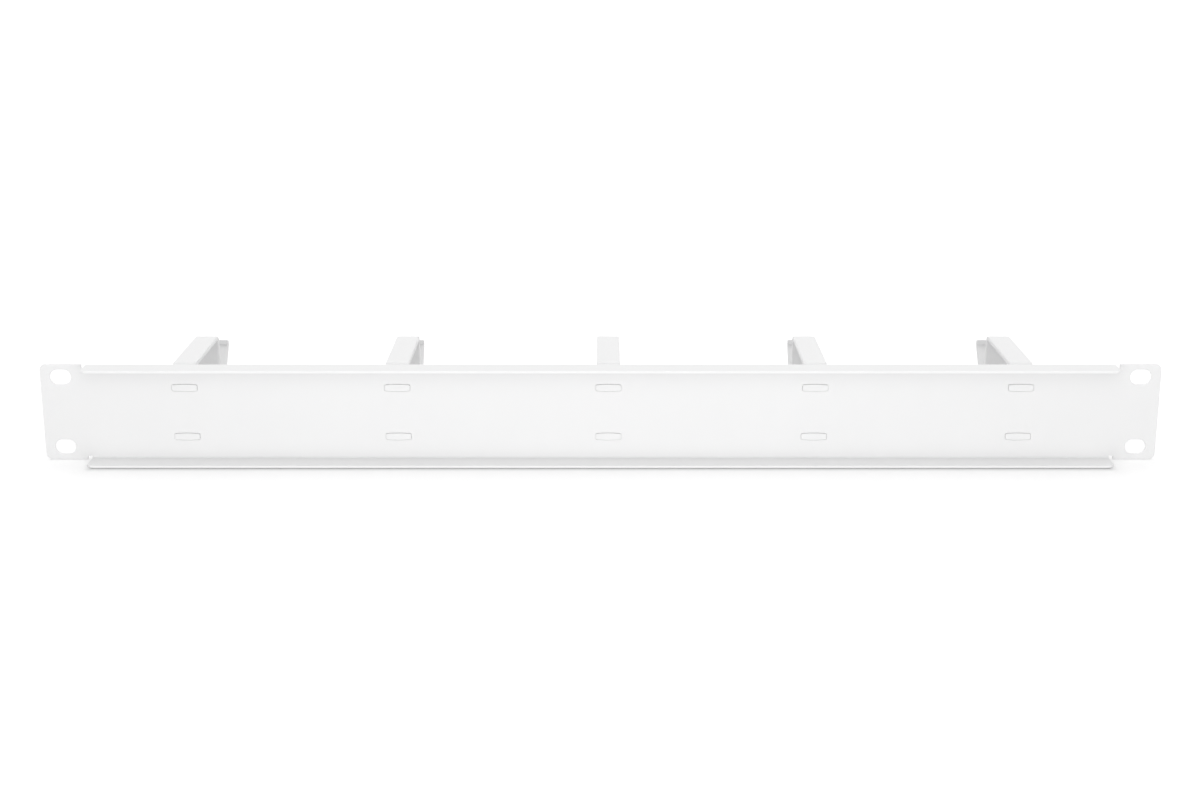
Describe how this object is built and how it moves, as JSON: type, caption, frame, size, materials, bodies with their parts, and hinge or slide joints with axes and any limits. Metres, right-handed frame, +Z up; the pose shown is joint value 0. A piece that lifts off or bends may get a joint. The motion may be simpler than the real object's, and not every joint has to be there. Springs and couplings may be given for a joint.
{
  "type": "horizontal cable manager",
  "caption": "Folded steel rack panel with rear flanges, slotted ears and a row of open cable rings, each a pair of bent strip hooks staked through the panel.",
  "frame": {"origin": "centre of the pattern of four rack slots, on the rear face of the panel, which bears on the rack's rails", "axes": "+X along the panel, +Y forward from the rack to the cable rings, +Z up"},
  "size_m": [0.4826, 0.0707, 0.0436],
  "materials": {
    "panel": "satin white powder coat",
    "hooks": "satin white powder coat"
  },
  "bodies": {
    "root": {"panel": "panel", "upper_hook_1": "hooks", "upper_hook_2": "hooks", "upper_hook_3": "hooks", "upper_hook_4": "hooks", "upper_hook_5": "hooks", "lower_hook_1": "hooks", "lower_hook_2": "hooks", "lower_hook_3": "hooks", "lower_hook_4": "hooks", "lower_hook_5": "hooks"}
  },
  "joints": []
}
